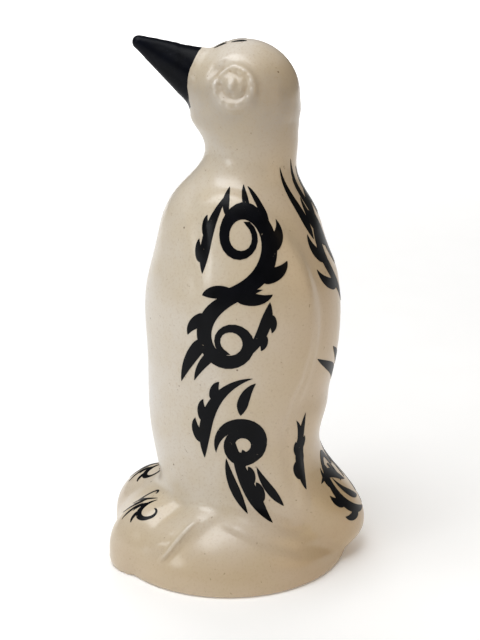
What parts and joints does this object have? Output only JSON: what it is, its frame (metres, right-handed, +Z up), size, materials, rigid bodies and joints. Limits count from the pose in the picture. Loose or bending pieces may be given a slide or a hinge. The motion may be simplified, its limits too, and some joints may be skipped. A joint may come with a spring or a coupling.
{
  "type": "penguin figurine",
  "caption": "Hollow glazed ceramic penguin standing on a domed plinth, with a black beak and black swirl transfers; a free-standing shelf ornament.",
  "frame": {"origin": "on the table, under the middle of the figure's box", "axes": "+Z up from the table to the crown; the bird faces -Y and its left side is +X"},
  "size_m": [0.1178, 0.1275, 0.2517],
  "materials": {
    "cream_glaze": "glossy warm cream glaze",
    "black_glaze": "satin black glaze",
    "black_transfer": "fired-on black transfer"
  },
  "bodies": {
    "root": {"torso": "cream_glaze", "head": "cream_glaze", "plinth": "cream_glaze", "tail": "cream_glaze", "left_flipper": "cream_glaze", "right_flipper": "cream_glaze", "left_foot": "cream_glaze", "right_foot": "cream_glaze", "left_eye_ring": "cream_glaze", "right_eye_ring": "cream_glaze", "left_eye_ball": "cream_glaze", "right_eye_ball": "cream_glaze", "beak": "black_glaze", "left_flipper_transfer": "black_transfer", "right_flipper_transfer": "black_transfer", "left_flank_transfer": "black_transfer", "right_flank_transfer": "black_transfer", "left_rump_transfer": "black_transfer", "right_rump_transfer": "black_transfer", "left_foot_transfer": "black_transfer", "right_foot_transfer": "black_transfer", "back_transfer": "black_transfer", "loin_transfer": "black_transfer", "tail_transfer": "black_transfer", "crown_transfer": "black_transfer"}
  },
  "joints": []
}
